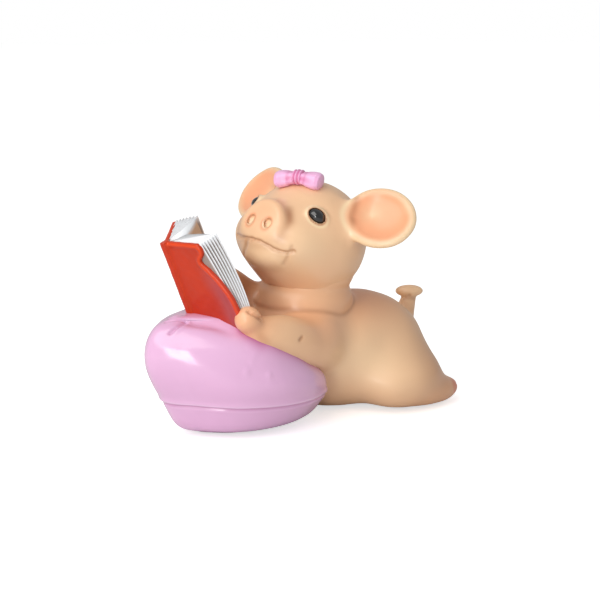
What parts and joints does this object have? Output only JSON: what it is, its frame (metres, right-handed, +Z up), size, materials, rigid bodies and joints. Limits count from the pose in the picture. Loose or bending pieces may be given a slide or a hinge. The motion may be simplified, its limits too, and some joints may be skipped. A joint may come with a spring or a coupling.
{
  "type": "pig figurine",
  "caption": "Resin ornament of a piglet lying belly down over a heart-shaped pillow, reading an open book it holds up with both front legs; bow on the head.",
  "frame": {"origin": "on the table, under the middle of the bounding box", "axes": "+Z up, the piglet looks towards -Y, its own left side is +X, +Y runs along its back towards the tail"},
  "size_m": [0.09, 0.1381, 0.0961],
  "materials": {
    "skin": "semi-gloss painted resin, peach tan",
    "ear": "semi-gloss painted resin, blush orange",
    "eye": "glossy black",
    "bow": "semi-gloss painted resin, pink",
    "pillow": "glossy painted resin, orchid pink",
    "cover": "glossy painted resin, orange red",
    "pages": "semi-gloss painted resin, white",
    "pad": "matte"
  },
  "bodies": {
    "root": {"torso": "skin", "head": "skin", "left_arm": "skin", "right_arm": "skin", "left_leg": "skin", "right_leg": "skin", "tail": "skin", "left_ear": "ear", "right_ear": "ear", "left_eye": "eye", "right_eye": "eye", "bow_knot": "bow", "left_bow_loop": "bow", "right_bow_loop": "bow", "pillow": "pillow", "book_cover": "cover", "left_pages": "pages", "right_pages": "pages", "base_pads": "pad"}
  },
  "joints": []
}
